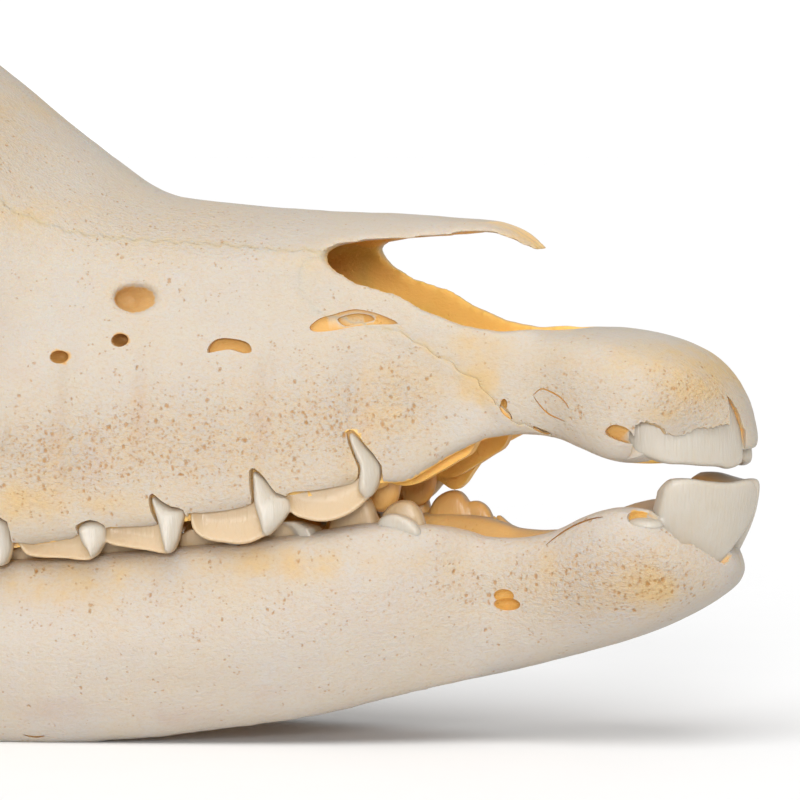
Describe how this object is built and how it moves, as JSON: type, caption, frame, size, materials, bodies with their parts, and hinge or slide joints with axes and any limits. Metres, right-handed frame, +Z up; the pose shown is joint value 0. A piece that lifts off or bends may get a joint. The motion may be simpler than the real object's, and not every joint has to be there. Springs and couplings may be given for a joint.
{
  "type": "horse skull",
  "caption": "Skull of a newborn foal on its lower jaw, jaws nearly closed, with open bone seams, milk incisors and milk cheek teeth.",
  "frame": {"origin": "on the surface the lower jaw stands on, under the middle of the skull's box", "axes": "+X towards the incisors, +Y to the animal's left, +Z up"},
  "size_m": [0.3092, 0.1302, 0.1492],
  "materials": {
    "skull_bone": "matt cleaned bone, ivory with yellow stains",
    "maxillary_bone": "matt porous bone with fine brown pits over the tooth buds",
    "nasal_bone": "matt thin bone, ivory to yellow",
    "incisive_bone": "matt bone with orange stains near the incisor",
    "mandible_bone": "matt fine-grained bone, cream with yellow and pink-grey patches",
    "inner_bone": "matt thin inner bone, orange-brown",
    "tooth_enamel": "satin unworn milk enamel with fine upright lines"
  },
  "bodies": {
    "root": {"frontal_left": "skull_bone", "frontal_right": "skull_bone", "incisive_left": "incisive_bone", "incisive_right": "incisive_bone", "lacrimal_left": "skull_bone", "lacrimal_right": "skull_bone", "mandible_left": "mandible_bone", "mandible_right": "mandible_bone", "maxilla_left": "maxillary_bone", "maxilla_right": "maxillary_bone", "nasal_left": "nasal_bone", "nasal_right": "nasal_bone", "occipital": "skull_bone", "parietal_left": "skull_bone", "parietal_right": "skull_bone", "sphenoid": "inner_bone", "temporal_left": "skull_bone", "temporal_right": "skull_bone", "vomer": "inner_bone", "zygomatic_left": "skull_bone", "zygomatic_right": "skull_bone"}
  },
  "joints": []
}
